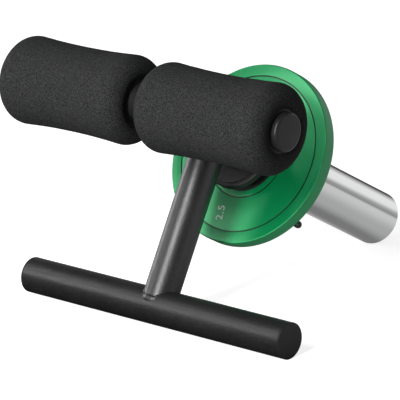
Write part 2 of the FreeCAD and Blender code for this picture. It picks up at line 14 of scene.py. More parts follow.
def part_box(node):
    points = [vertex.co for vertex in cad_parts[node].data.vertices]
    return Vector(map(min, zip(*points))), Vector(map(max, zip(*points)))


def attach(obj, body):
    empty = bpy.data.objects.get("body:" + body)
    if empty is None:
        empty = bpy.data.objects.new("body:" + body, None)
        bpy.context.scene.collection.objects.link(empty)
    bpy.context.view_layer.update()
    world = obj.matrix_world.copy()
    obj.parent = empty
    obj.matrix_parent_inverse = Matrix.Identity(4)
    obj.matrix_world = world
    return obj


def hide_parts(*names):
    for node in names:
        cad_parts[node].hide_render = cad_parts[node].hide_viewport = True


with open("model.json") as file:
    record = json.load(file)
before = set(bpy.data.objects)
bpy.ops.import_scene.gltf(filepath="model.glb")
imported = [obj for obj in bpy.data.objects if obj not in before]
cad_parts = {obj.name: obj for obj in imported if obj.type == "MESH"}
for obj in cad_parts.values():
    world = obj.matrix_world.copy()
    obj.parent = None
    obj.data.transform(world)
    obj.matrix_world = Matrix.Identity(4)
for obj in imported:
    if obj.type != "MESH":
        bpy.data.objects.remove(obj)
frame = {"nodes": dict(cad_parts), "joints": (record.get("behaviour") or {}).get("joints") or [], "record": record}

# The looks of a tibialis bar: powder-coated tubes, foam rollers, a chromed sleeve, a small green
# plate and a spring clip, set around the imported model. Lengths are in metres unless a name ends
# in mm. Turned pieces are built along their own Z axis and weld beads in the bar's own axes, and
# each is then laid in its place.

LOG = logging.getLogger("tibialis_bar")
MM = 0.001
SAME_POINT = 1e-7  # points closer than this are one
FOAM_SEED = Vector((3.7, 1.3, 9.1))  # where the foam's noise is read, and the beads' below
BEAD_SEED = Vector((7.0, 2.0, 5.0))
# The plate's ring grooves, for its shape and its painted shade: middle radii, and half their width.
GROOVE_R = (40.2 * MM, 71.4 * MM)
GROOVE_HALF = 0.6 * MM
WHITE = (1, 1, 1, 1)
MID_GREY = (0.5, 0.5, 0.5, 1)

Colour = tuple[float, float, float]
Pair = tuple[float, float]
Profile = list[Pair]
Mesh = bmesh.types.BMesh
Socket = bpy.types.NodeSocket
Outputs = bpy.types.bpy_prop_collection


# ---- the bar's own axes


@dataclass(frozen=True)
class BarAxes:
    """The bar's own axes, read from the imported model.

    X runs along the crossbars, Y back along the sleeve and Z up the post, from the point where
    the post meets the foot bar.
    """

    matrix: Matrix
    rise: float
    reach: float

    @classmethod
    def read(cls) -> "BarAxes":
        """Reads the tilt from the sleeve's slide joint and the places from the tubes' boxes.

        Returns:
            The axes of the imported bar.
        """
        slide = next(joint for joint in frame["joints"] if joint["name"] == "collar_slide")
        back = Vector(slide["axis"]).normalized()
        tilt = Matrix.Rotation(-math.atan2(-back.z, back.y), 4, "X")
        matrix = Matrix.Translation(box_middle("lower_bar")) @ tilt
        crossbar = matrix.inverted() @ box_middle("crossbar")
        return cls(matrix=matrix, rise=crossbar.z, reach=-crossbar.y)

    def along_sleeve(self, start: float) -> Matrix:
        """A frame on the shaft whose Z axis points back along the sleeve.

        Args:
            start: How far behind the post's axis the frame lies.

        Returns:
            The frame in the row's axes.
        """
        place = Matrix.Translation((0, start, self.rise))
        return self.matrix @ place @ Matrix.Rotation(math.radians(-90), 4, "X")

    def along_crossbar(self, start: float, side: int = 1) -> Matrix:
        """A level frame on the crossbar whose Z axis points to one of its ends.

        Args:
            start: How far along the crossbar the frame lies.
            side: 1 to face the right end, or -1 to face the left end.

        Returns:
            The frame in the row's axes.
        """
        centre = self.matrix @ Vector((start, -self.reach, self.rise))
        return Matrix.Translation(centre) @ Matrix.Rotation(math.radians(90 * side), 4, "Y")


def box_middle(node: str) -> Vector:
    """The middle of a CAD node's box.

    Args:
        node: The node's name.

    Returns:
        The middle, in the row's axes.
    """
    low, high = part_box(node)
    return (Vector(low) + Vector(high)) / 2


# ---- mesh tools


def soften(corners: Profile, radii: Sequence[float], steps: int = 6) -> Profile:
    """Rounds each corner of a closed profile that has a radius.

    Args:
        corners: The closed profile's corners, as places along the axis and radii.
        radii: One radius for each corner, or zero to keep it sharp.
        steps: How many short sides each round has.

    Returns:
        The rounded profile.
    """
    points: Profile = []
    for index, (corner, radius) in enumerate(zip(corners, radii)):
        if radius <= 0:
            points.append(corner)
            continue
        point = Vector(corner)
        back = (Vector(corners[index - 1]) - point).normalized()
        ahead = (Vector(corners[(index + 1) % len(corners)]) - point).normalized()
        half = back.angle(ahead) / 2
        reach = radius / math.tan(half)
        centre = point + (back + ahead).normalized() * (radius / math.sin(half))
        first, last = point + back * reach - centre, point + ahead * reach - centre
        for angle in steps_between(0, -first.angle_signed(last), steps):
            c, s = math.cos(angle), math.sin(angle)
            points.append((centre.x + first.x * c - first.y * s,
                           centre.y + first.x * s + first.y * c))
    return points


def steps_between(start: float, end: float, count: int) -> list[float]:
    """Even steps between two numbers, both included.

    Args:
        start: The first number.
        end: The last number.
        count: How many steps there are.

    Returns:
        One more number than there are steps.
    """
    return [start + (end - start) * index / count for index in range(count + 1)]


def add_object(name: str, data: bpy.types.ID) -> bpy.types.Object:
    """Puts an object into the scene.

    Args:
        name: The object's name.
        data: Its mesh, curve, light or camera.

    Returns:
        The object.
    """
    made = bpy.data.objects.new(name, data)
    bpy.context.scene.collection.objects.link(made)
    return made


def add_piece(name: str, mesh: Mesh, place: Matrix, crease: float = 32) -> bpy.types.Object:
    """Makes a piece from a finished bmesh.

    Args:
        name: The piece's name.
        mesh: The mesh in the piece's own axes. It is freed.
        place: The piece's frame in the row's axes.
        crease: Edges sharper than this angle in degrees stay sharp.

    Returns:
        The piece.
    """
    bmesh.ops.remove_doubles(mesh, verts=mesh.verts, dist=SAME_POINT)
    bmesh.ops.recalc_face_normals(mesh, faces=mesh.faces)
    data = bpy.data.meshes.new(name)
    mesh.to_mesh(data)
    mesh.free()
    data.shade_smooth()
    data.set_sharp_from_angle(angle=math.radians(crease))
    piece = add_object(name, data)
    piece.matrix_world = place
    return piece


def full_turn(count: int) -> list[Pair]:
    """The cosine and the sine of each step of a full turn.

    Args:
        count: How many steps there are.

    Returns:
        The pairs.
    """
    return [(math.cos(angle), math.sin(angle))
            for angle in steps_between(0, 2 * math.pi, count)[:-1]]


def bridge(mesh: Mesh, pairs: Sequence[tuple[list, list]]) -> None:
    """Joins rings of vertices with faces.

    Args:
        mesh: The mesh that gets the faces.
        pairs: Each two rings to join. A ring may be one vertex repeated.
    """
    for low, high in pairs:
        for step in range(len(low)):
            after = (step + 1) % len(low)
            unique = list(dict.fromkeys((low[step], low[after], high[after], high[step])))
            if len(unique) > 2:
                mesh.faces.new(unique)


def lathe(profile: Profile, segments: int,
          shift: Optional[Callable[[Vector], Vector]] = None) -> Mesh:
    """Turns a closed profile about the Z axis.

    Args:
        profile: Places along Z and radii. A point with no radius lies on the axis.
        segments: How many steps a full turn has.
        shift: Moves each finished point, if given.

    Returns:
        The closed mesh.
    """
    mesh = bmesh.new()
    circle = full_turn(segments)
    rings = [[mesh.verts.new((0, 0, along))] * segments if radius < SAME_POINT else
             [mesh.verts.new((radius * c, radius * s, along)) for c, s in circle]
             for along, radius in profile]
    bridge(mesh, list(zip(rings, rings[1:] + rings[:1])))
    if shift is not None:
        for vertex in mesh.verts:
            vertex.co = shift(vertex.co)
    return mesh


def sweep(path: Sequence[Vector], radii: Sequence[float], closed: bool, sides: int) -> Mesh:
    """Sweeps a circle of changing radius along a line of points.

    Args:
        path: The line's points.
        radii: The circle's radius at each point.
        closed: True if the last point joins the first.
        sides: How many sides the circle has.

    Returns:
        The closed mesh.
    """
    mesh = bmesh.new()
    count = len(path)
    up = Vector((0.3, 0.2, 1)).normalized()  # any direction that no path starts along
    rings = []
    for index, point in enumerate(path):
        ahead = path[(index + 1) % count] if closed or index + 1 < count else point
        behind = path[index - 1] if closed or index else point
        along = (ahead - behind).normalized()
        side = along.cross(up).normalized()
        up = side.cross(along)
        rings.append([mesh.verts.new(point + (side * c + up * s) * radii[index])
                      for c, s in full_turn(sides)])
    bridge(mesh, list(zip(rings, rings[1:])))
    if closed:
        first, last = rings[0], rings[-1]
        twist = min(range(sides), key=lambda k: (first[k].co - last[0].co).length)
        bridge(mesh, [(last, first[twist:] + first[:twist])])
    else:
        mesh.faces.new(rings[0])
        mesh.faces.new(rings[-1])
    return mesh


# ---- shader node groups


@dataclass(frozen=True)
class Sheet:
    """A node tree being written: short calls to add nodes and feed them."""

    tree: bpy.types.NodeTree

    def node(self, kind: str, **settings: object) -> bpy.types.Node:
        """Adds a node.

        Args:
            kind: The node's class name after "ShaderNode", or a full class name.
            **settings: Properties of the node.

        Returns:
            The node.
        """
        full = kind if kind.startswith("Node") else f"ShaderNode{kind}"
        made = self.tree.nodes.new(full)
        for name, value in settings.items():
            setattr(made, name, value)
        return made

    def feed(self, node: bpy.types.Node, inputs: dict) -> None:
        """Feeds a node's inputs.

        Args:
            node: The node.
            inputs: A socket to link from, or else a constant, for each input's name or place.
        """
        for key, source in inputs.items():
            if isinstance(source, Socket):
                self.tree.links.new(source, node.inputs[key])
            else:
                node.inputs[key].default_value = source

    def fed(self, kind: str, inputs: dict, **settings: object) -> Outputs:
        """Adds a node and feeds its inputs.

        Args:
            kind: The node's class name after "ShaderNode".
            inputs: What its inputs get, by name or place.
            **settings: Properties of the node.

        Returns:
            The node's outputs.
        """
        made = self.node(kind, **settings)
        self.feed(made, inputs)
        return made.outputs

    def maths(self, operation: str, *values: object) -> Socket:
        """Adds a Math node.

        Args:
            operation: The node's operation.
            *values: Numbers or sockets for its inputs.

        Returns:
            The node's output.
        """
        return self.fed("Math", dict(enumerate(values)), operation=operation)[0]

    def product(self, *values: object) -> Socket:
        """Multiplies numbers and sockets.

        Args:
            *values: Two factors or more.

        Returns:
            Their product.
        """
        return reduce(lambda one, other: self.maths("MULTIPLY", one, other), values)

    def parts(self, kind: str = "Object") -> Outputs:
        """Splits texture coordinates.

        Args:
            kind: The name of the Texture Coordinate node's output.

        Returns:
            Their parts, by the names X, Y and Z.
        """
        return self.fed("SeparateXYZ", {0: self.node("TexCoord").outputs[kind]})

    def radius(self) -> Socket:
        """Measures how far a place is from the piece's own Z axis.

        Returns:
            The distance.
        """
        place = self.parts()
        squares = [self.product(place[name], place[name]) for name in ("X", "Y")]
        return self.maths("SQRT", self.maths("ADD", *squares))

    def noise(self, scale: object, detail: float, roughness: float,
              place: Optional[Socket] = None) -> Socket:
        """Adds a Noise Texture.

        Args:
            scale: Its scale, a number or a socket.
            detail: How many octaves it has.
            roughness: How strong the fine octaves are.
            place: Where it is read, or None to read it in the piece's own axes.

        Returns:
            The noise value.
        """
        if place is None:
            place = self.node("TexCoord").outputs["Object"]
        return self.fed("TexNoise", {"Vector": place, "Scale": scale, "Detail": detail,
                                     "Roughness": roughness})["Fac"]

    def remap(self, value: Socket, low: object, high: object, to_low: object = 0.0,
              to_high: object = 1.0) -> Socket:
        """Adds a clamped Map Range node.

        Args:
            value: The value to map.
            low: Where the range starts.
            high: Where it ends.
            to_low: The result at its start.
            to_high: The result at its end.

        Returns:
            The mapped value.
        """
        return self.fed("MapRange", dict(enumerate((value, low, high, to_low, to_high))))[0]

    def mix(self, mask: object, under: object, over: object) -> Socket:
        """Lays one colour over another. A Mix node's colour sockets go by their places.

        Args:
            mask: How much of the upper colour shows.
            under: The lower colour.
            over: The upper colour.

        Returns:
            The mixed colour.
        """
        return self.fed("Mix", {0: mask, 6: under, 7: over}, data_type="RGBA")[2]


def new_group(name: str, inputs: dict[str, object],
              outputs: dict[str, str]) -> tuple[Sheet, dict, bpy.types.Node]:
    """Starts a shader node group.

    Args:
        name: The group's name.
        inputs: Each input's default, a number or a colour.
        outputs: Each output's socket type after "NodeSocket".

    Returns:
        The group's sheet, its input sockets by name, and the node that takes its results.
    """
    tree = bpy.data.node_groups.new(name, "ShaderNodeTree")
    for label, default in inputs.items():
        kind = "Color" if isinstance(default, tuple) else "Float"
        socket = tree.interface.new_socket(label, in_out="INPUT", socket_type=f"NodeSocket{kind}")
        socket.default_value = default
    for label, kind in outputs.items():
        tree.interface.new_socket(label, in_out="OUTPUT", socket_type=f"NodeSocket{kind}")
    sheet = Sheet(tree)
    given = sheet.node("NodeGroupInput")
    result = sheet.node("NodeGroupOutput")
    return sheet, dict(given.outputs.items()), result


@dataclass
class Effects:
    """The node groups that several materials share, each built once.

    The numbers are the broad grain's scale as a share of the fine grain's, the stretch of noise
    that each mask takes, and how fast a hairline changes along its way.
    """

    broad_share: float = 0.42
    cloud_range: Pair = (0.35, 0.68)
    line_range: Pair = (0.4, 0.7)
    line_drift: float = 6.0

    def __post_init__(self) -> None:
        """Builds every group."""
        self.grain = self._grain()
        self.patina = self._patina()
        self.two_tone = self._two_tone()
        self.scratches = self._scratches()

    def _grain(self) -> bpy.types.NodeTree:
        """Fine grain: flecks that stand out of a finish, and its orange-peel height.

        Returns:
            The group.
        """
        sheet, given, result = new_group(
            "fine_grain", {"Scale": 1500.0, "Fleck Start": 0.58, "Fleck End": 0.72},
            {"Fleck": "Float", "Height": "Float"})
        fine = sheet.noise(given["Scale"], detail=2.0, roughness=0.6)
        broad = sheet.noise(sheet.product(given["Scale"], self.broad_share), detail=3.0,
                            roughness=0.5)
        halves = [sheet.product(grain, 0.5) for grain in (fine, broad)]
        sheet.feed(result, {
            "Fleck": sheet.remap(fine, given["Fleck Start"], given["Fleck End"]),
            "Height": sheet.maths("ADD", *halves)})
        return sheet.tree

    def _patina(self) -> bpy.types.NodeTree:
        """Slow, uneven variation over a surface, as handling and moulding leave it.

        Returns:
            The group.
        """
        sheet, given, result = new_group("slow_patina", {"Scale": 18.0}, {"Mask": "Float"})
        cloud = sheet.noise(given["Scale"], detail=4.0, roughness=0.62)
        sheet.feed(result, {"Mask": sheet.remap(cloud, *self.cloud_range)})
        return sheet.tree

    @staticmethod
    def _two_tone() -> bpy.types.NodeTree:
        """A base colour with a second one laid over it by one mask and a third by another.

        Returns:
            The group.
        """
        sheet, given, result = new_group(
            "two_tone", {"Base": MID_GREY, "Patch": MID_GREY, "Patch Mask": 0.0,
                         "Fleck": MID_GREY, "Fleck Mask": 0.0}, {"Color": "Color"})
        patched = sheet.mix(given["Patch Mask"], given["Base"], given["Patch"])
        sheet.feed(result, {"Color": sheet.mix(given["Fleck Mask"], patched, given["Fleck"])})
        return sheet.tree

    def _scratches(self) -> bpy.types.NodeTree:
        """Hairline marks that run round a turned surface whose axis is the piece's own Z.

        Returns:
            The group.
        """
        sheet, given, result = new_group("turned_hairlines", {"Rings": 2500.0},
                                         {"Mask": "Float", "Height": "Float"})
        parts = sheet.parts()
        line = sheet.fed("CombineXYZ", {
            0: sheet.product(sheet.radius(), given["Rings"]),
            1: sheet.product(parts["Z"], given["Rings"]),
            2: sheet.product(parts["X"], self.line_drift)})[0]
        rough = sheet.noise(1.0, detail=2.0, roughness=0.7, place=line)
        sheet.feed(result, {"Mask": sheet.remap(rough, *self.line_range), "Height": rough})
        return sheet.tree


# ---- finishes


def new_material(name: str) -> tuple[bpy.types.Material, Sheet, bpy.types.Node]:
    """Starts a node material.

    Args:
        name: The material's name.

    Returns:
        The material, its sheet and its Principled BSDF.
    """
    material = bpy.data.materials.new(name)
    material.use_nodes = True
    return material, Sheet(material.node_tree), material.node_tree.nodes["Principled BSDF"]


@dataclass(frozen=True)
class Finish:
    """A finish with a fleck, a slow patina and a fine height, from which a material is made."""

    name: str
    base: Colour
    patch: Colour
    fleck: Colour
    grain_scale: float = 1500.0
    fleck_start: float = 0.56
    fleck_end: float = 0.74
    patch_scale: float = 18.0
    rough_low: float = 0.4
    rough_high: float = 0.5
    bump: float = 0.15
    bump_depth: float = 0.0002
    metallic: float = 0.0
    specular: float = 0.5

    def material(self, effects: Effects) -> bpy.types.Material:
        """Builds the material.

        Args:
            effects: The shared node groups.

        Returns:
            The material.
        """
        material, sheet, shader = new_material(self.name)
        grain = sheet.fed("Group", {"Scale": self.grain_scale, "Fleck Start": self.fleck_start,
                                    "Fleck End": self.fleck_end}, node_tree=effects.grain)
        patina = sheet.fed("Group", {"Scale": self.patch_scale}, node_tree=effects.patina)["Mask"]
        tones = sheet.fed("Group", {
            "Base": (*self.base, 1), "Patch": (*self.patch, 1), "Patch Mask": patina,
            "Fleck": (*self.fleck, 1), "Fleck Mask": grain["Fleck"]}, node_tree=effects.two_tone)
        sheet.feed(shader, {
            "Base Color": tones["Color"],
            "Roughness": sheet.remap(patina, 0.0, 1.0, self.rough_low, self.rough_high),
            "Normal": sheet.fed("Bump", {"Height": grain["Height"], "Strength": self.bump,
                                         "Distance": self.bump_depth})["Normal"],
            "Metallic": self.metallic, "Specular IOR Level": self.specular})
        self.dress(sheet, shader, effects)
        return material

    def dress(self, sheet: Sheet, shader: bpy.types.Node, effects: Effects) -> None:
        """Adds what only some finishes have. A plain finish adds nothing.

        Args:
            sheet: The material's node tree.
            shader: Its Principled BSDF.
            effects: The shared node groups.
        """


@dataclass(frozen=True)
class TurnedMetal(Finish):
    """A finish turned or polished about the piece's own Z axis, with hairlines round it."""

    rings: float = 2500.0
    hairline: float = 0.05
    hairline_depth: float = 0.0001

    def dress(self, sheet: Sheet, shader: bpy.types.Node, effects: Effects) -> None:
        """Lays the hairlines into the roughness and the bump.

        Args:
            sheet: The material's node tree.
            shader: Its Principled BSDF.
            effects: The shared node groups.
        """
        lines = sheet.fed("Group", {"Rings": self.rings}, node_tree=effects.scratches)
        sheet.feed(shader, {
            "Roughness": sheet.remap(lines["Mask"], 0.0, 1.0, self.rough_low, self.rough_high),
            "Normal": sheet.fed("Bump", {"Height": lines["Height"], "Strength": self.hairline,
                                         "Distance": self.hairline_depth})["Normal"]})


@dataclass(frozen=True)
class TurnedEnamel(TurnedMetal):
    """Satin enamel over a turned face, whose sheen fans out from the piece's own Z axis."""

    fan: float = 0.6
    fan_turn: float = 0.0
    groove_r: Pair = GROOVE_R
    groove_half: float = GROOVE_HALF
    groove_shade_blur: float = 0.1 * MM
    # Painted shade: the dark colour laid into the grooves, in place of the shade in them.
    groove_painted_shade: Colour = (0.0005, 0.03, 0.012)

    def dress(self, sheet: Sheet, shader: bpy.types.Node, effects: Effects) -> None:
        """Adds the fanned sheen and painted shade in the turned grooves to the hairlines.

        Args:
            sheet: The material's node tree.
            shader: Its Principled BSDF.
            effects: The shared node groups.
        """
        super().dress(sheet, shader, effects)
        radius = sheet.radius()
        edge = self.groove_half + self.groove_shade_blur
        # Painted shade: a mask that is 1 in each groove and fades over its soft edge.
        groove_shade_masks = [sheet.remap(sheet.maths("ABSOLUTE", sheet.maths("SUBTRACT", radius, middle)),
                              self.groove_half, edge, 1.0, 0.0) for middle in self.groove_r]
        plain = shader.inputs["Base Color"].links[0].from_socket
        around = sheet.node("Tangent", direction_type="RADIAL", axis="Z")
        sheet.feed(shader, {
            "Base Color": sheet.mix(sheet.maths("MAXIMUM", *groove_shade_masks), plain,
                                    (*self.groove_painted_shade, 1)),
            "Anisotropic": self.fan, "Anisotropic Rotation": self.fan_turn,
            "Tangent": around.outputs["Tangent"]})


class Slot(Enum):
    """The record's material slots."""

    FRAME_COAT = "frame_coat"
    CAP_PLASTIC = "cap_plastic"
    LINER_PLASTIC = "liner_plastic"
    FOAM = "foam"
    BUMPER_RUBBER = "bumper_rubber"
    CHROME = "chrome"
    BUSH_PLASTIC = "bush_plastic"
    DARK_STEEL = "dark_steel"
    BRIGHT_STEEL = "bright_steel"
    PLATE_RUBBER = "plate_rubber"
    HUB_STEEL = "hub_steel"
    CLIP_WIRE = "clip_wire"
    CLIP_GRIP = "clip_grip"


FINISHES: dict[Slot, Finish] = {
    Slot.FRAME_COAT: Finish(
        name="black_powder_coat", base=(0.006, 0.006, 0.0062), patch=(0.008, 0.008, 0.0082),
        fleck=(0.036, 0.036, 0.037), grain_scale=900, fleck_start=0.56, fleck_end=0.78,
        rough_low=0.35, rough_high=0.41, bump=0.6, bump_depth=0.0004, specular=0.6),
    Slot.CAP_PLASTIC: Finish(
        name="black_cap_plastic", base=(0.0085, 0.0085, 0.009), patch=(0.011, 0.011, 0.0115),
        fleck=(0.024, 0.024, 0.025), grain_scale=1800, rough_low=0.34, rough_high=0.42, bump=0.5,
        specular=0.26),
    Slot.LINER_PLASTIC: Finish(
        name="liner_plastic", base=(0.012, 0.012, 0.012), patch=(0.02, 0.02, 0.02),
        fleck=(0.03, 0.03, 0.03), rough_low=0.5, rough_high=0.65, specular=0.25),
    Slot.FOAM: Finish(
        name="black_roller_foam", base=(0.008, 0.0083, 0.0083), patch=(0.011, 0.0113, 0.0113),
        fleck=(0.046, 0.047, 0.047), grain_scale=1100, fleck_start=0.4, fleck_end=0.78,
        patch_scale=30, rough_low=0.8, rough_high=0.92, bump=0.8, bump_depth=0.0006,
        specular=0.08),
    Slot.BUMPER_RUBBER: Finish(
        name="stop_ring_rubber", base=(0.012, 0.012, 0.0125), patch=(0.017, 0.017, 0.0175),
        fleck=(0.028, 0.028, 0.029), rough_low=0.5, rough_high=0.62, bump=0.2, specular=0.4),
    Slot.CHROME: TurnedMetal(
        name="polished_chrome", base=(0.74, 0.745, 0.745), patch=(0.72, 0.725, 0.725),
        fleck=(0.73, 0.735, 0.735), metallic=1.0, rough_low=0.05, rough_high=0.08,
        hairline=0.02, rings=1800),
    Slot.BUSH_PLASTIC: Finish(
        name="pale_bush_plastic", base=(0.5, 0.49, 0.46), patch=(0.55, 0.54, 0.5),
        fleck=(0.6, 0.59, 0.56), rough_low=0.45, rough_high=0.6),
    Slot.DARK_STEEL: Finish(
        name="black_oxide_steel", base=(0.03, 0.03, 0.032), patch=(0.045, 0.044, 0.043),
        fleck=(0.07, 0.07, 0.07), metallic=0.8, rough_low=0.35, rough_high=0.5),
    Slot.BRIGHT_STEEL: Finish(
        name="zinc_steel", base=(0.5, 0.5, 0.51), patch=(0.42, 0.42, 0.43),
        fleck=(0.6, 0.6, 0.6), metallic=1.0, rough_low=0.3, rough_high=0.42),
    Slot.PLATE_RUBBER: TurnedEnamel(
        name="green_plate_face", base=(0.0005, 0.26, 0.078), patch=(0.0008, 0.275, 0.083),
        fleck=(0.002, 0.29, 0.09), grain_scale=1800, metallic=0.38, rough_low=0.42,
        rough_high=0.46, hairline=0.06, rings=2600, specular=0.85, fan=0.9, fan_turn=0.04),
    Slot.HUB_STEEL: Finish(
        name="dark_hub_steel", base=(0.03, 0.03, 0.031), patch=(0.045, 0.044, 0.044),
        fleck=(0.08, 0.08, 0.08), metallic=0.6, rough_low=0.38, rough_high=0.5),
    Slot.CLIP_WIRE: Finish(
        name="spring_wire", base=(0.45, 0.45, 0.46), patch=(0.38, 0.38, 0.39),
        fleck=(0.55, 0.55, 0.56), metallic=1.0, rough_low=0.2, rough_high=0.32),
    Slot.CLIP_GRIP: Finish(
        name="dipped_grip", base=(0.014, 0.014, 0.014), patch=(0.018, 0.018, 0.018),
        fleck=(0.035, 0.035, 0.035), rough_low=0.4, rough_high=0.5, specular=0.3),
}


FIGURE_PAINT = Finish(
    name="pale_figure_paint", base=(0.62, 0.74, 0.64), patch=(0.55, 0.7, 0.58),
    fleck=(0.7, 0.8, 0.72), rough_low=0.45, rough_high=0.55, specular=0.3)


@dataclass
class Wardrobe:
    """Every material, and the calls that put one on a piece or a CAD node."""

    effects: Effects = field(default_factory=Effects)
    made: dict[Slot, bpy.types.Material] = field(default_factory=dict)

    def material(self, slot: Slot) -> bpy.types.Material:
        """The material of a slot, built on its first use.

        Args:
            slot: The material slot.

        Returns:
            The material.
        """
        if slot not in self.made:
            self.made[slot] = FINISHES[slot].material(self.effects)
        return self.made[slot]

    def dress(self, piece: bpy.types.Object, slot: Slot, body: str, node: str) -> None:
        """Gives a new piece its material, slot and body, and lets it stand for a CAD node.

        Args:
            piece: The piece, already in place.
            slot: Its material slot.
            body: The CAD body that it rides on.
            node: The CAD node that it replaces.
        """
        piece.data.materials.append(self.material(slot))
        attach(piece, body)
        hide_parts(node)
        LOG.info("%s rides on %s in %s for %s", piece.name, body, slot.value, node)

    def print_on(self, piece: bpy.types.Object, paint: Finish, body: str) -> None:
        """Gives a printed layer its paint, which belongs to no slot of the record.

        Args:
            piece: The layer, already in place.
            paint: Its finish.
            body: The CAD body that it rides on.
        """
        piece.data.materials.append(paint.material(self.effects))
        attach(piece, body)
        LOG.info("%s is printed on %s in %s", piece.name, body, paint.name)

    def dress_nodes(self) -> None:
        """Puts the right material on every CAD node by the record's slots."""
        for entry in frame["record"]["subparts"]:
            node = frame["nodes"][entry["node"]]
            material = self.material(Slot(entry["material_slot"]))
            if not node.material_slots:
                node.data.materials.append(material)
            for holder in node.material_slots:
                holder.material = material
            LOG.info("%s keeps its solid in %s", entry["node"], material.name)


# ---- sub-assemblies


@dataclass
class FoamRoller:
    """A waisted foam roller with rounded shoulders and dished ends.

    Its steps are those of the crest, the shoulder, the waist and the bore.
    """

    axes: BarAxes
    side: str
    bore_r: float = 18.7 * MM
    end_r: float = 38.8 * MM
    waist_r: float = 36.9 * MM
    shoulder: float = 14 * MM
    crest: float = 3 * MM
    dish: float = 2.2 * MM
    half_bore: float = 67 * MM
    bore_margin: float = 1 * MM
    pore_depth: float = 0.07 * MM
    pore_scale: float = 420
    swell_share: float = 1.6
    swell_scale: float = 60
    steps: tuple[int, int, int, int] = (7, 26, 96, 8)
    segments: int = 224
    crease: float = 60

    def profile(self) -> Profile:
        """The roller's section: bore, dish, crest, shoulder and the long hollow of its waist.

        Returns:
            The closed profile, from the near end to the far end and back along the bore.
        """
        crest_steps, shoulder_steps, waist_steps, bore_steps = self.steps
        end = self.half_bore + self.dish
        mid_z, mid_r = end - self.shoulder, self.end_r - self.shoulder
        low = mid_r - self.waist_r
        hollow = (mid_z ** 2 + low ** 2 - self.shoulder ** 2) / (2 * (self.shoulder + low))
        touch = math.atan2(hollow - low, -mid_z)
        crest_z = end - self.crest
        run, drop = self.half_bore - crest_z, mid_r - self.bore_r
        leave = math.atan2(-drop, run) + math.acos(self.crest / math.hypot(run, drop))
        near: Profile = [(self.half_bore, self.bore_r)]
        near += [(crest_z + self.crest * math.cos(a), mid_r + self.crest * math.sin(a))
                 for a in steps_between(leave, 0, crest_steps)]
        near += [(mid_z + self.shoulder * math.cos(a), mid_r + self.shoulder * math.sin(a))
                 for a in steps_between(0, touch, shoulder_steps)][1:]
        flat = near[-1][0]
        centre_r = self.waist_r + hollow
        long_side = [(z, centre_r - math.sqrt(hollow ** 2 - z ** 2))
                     for z in steps_between(flat, -flat, waist_steps)][1:-1]
        far = [(-z, r) for z, r in reversed(near)]
        bore = [(z, self.bore_r)
                for z in steps_between(-self.half_bore, self.half_bore, bore_steps)][1:-1]
        return near + long_side + far + bore

    def swell(self, point: Vector) -> Vector:
        """Moves a point of the skin a little in or out, as cast foam is never quite even.

        Args:
            point: A point of the even roller.

        Returns:
            The moved point.
        """
        radius = math.hypot(point.x, point.y)
        if radius < self.bore_r + self.bore_margin:
            return point
        offset = FOAM_SEED * (1 if self.side == "right" else 2)
        broad = noise.noise(point * self.swell_scale + offset)
        fine = noise.noise(point * self.pore_scale + offset)
        change = self.pore_depth * (self.swell_share * broad + fine)
        return point + Vector((point.x, point.y, 0)) / radius * change

    def build(self, wardrobe: Wardrobe) -> None:
        """Makes the roller and lets it stand for its CAD solid.

        Args:
            wardrobe: The materials.
        """
        node = f"foam_roller_{self.side}"
        start = (self.axes.matrix.inverted() @ box_middle(node)).x
        mesh = lathe(self.profile(), self.segments, self.swell)
        piece = add_piece(f"foam_skin_{self.side}", mesh, self.axes.along_crossbar(start),
                          self.crease)
        wardrobe.dress(piece, Slot.FOAM, f"{self.side}_roller", node)


@dataclass
class WeldBead:
    """A weld bead: a lumpy run of small ripples along a joint, in place of its plain solid."""

    name: str
    path: list[Vector]
    place: Matrix
    closed: bool
    node: str
    radius: float = 2.5 * MM
    ripple: float = 2.3 * MM
    ripple_share: float = 0.1
    lump_share: float = 0.16
    lump_scale: float = 260
    sides: int = 20
    crease: float = 80

    def build(self, wardrobe: Wardrobe) -> None:
        """Makes the bead in the coat that covers it and lets it stand for its CAD solid.

        Args:
            wardrobe: The materials.
        """
        length = 0.0
        radii = []
        for index, point in enumerate(self.path):
            if index:
                length += (point - self.path[index - 1]).length
            phase = 2 * math.pi * length / self.ripple
            lump = noise.noise(point * self.lump_scale + BEAD_SEED)
            radii.append(self.radius * (1 + self.ripple_share * math.sin(phase)
                                        + self.lump_share * lump))
        mesh = sweep(self.path, radii, self.closed, self.sides)
        piece = add_piece(self.name, mesh, self.place, self.crease)
        wardrobe.dress(piece, Slot.FRAME_COAT, "frame", self.node)


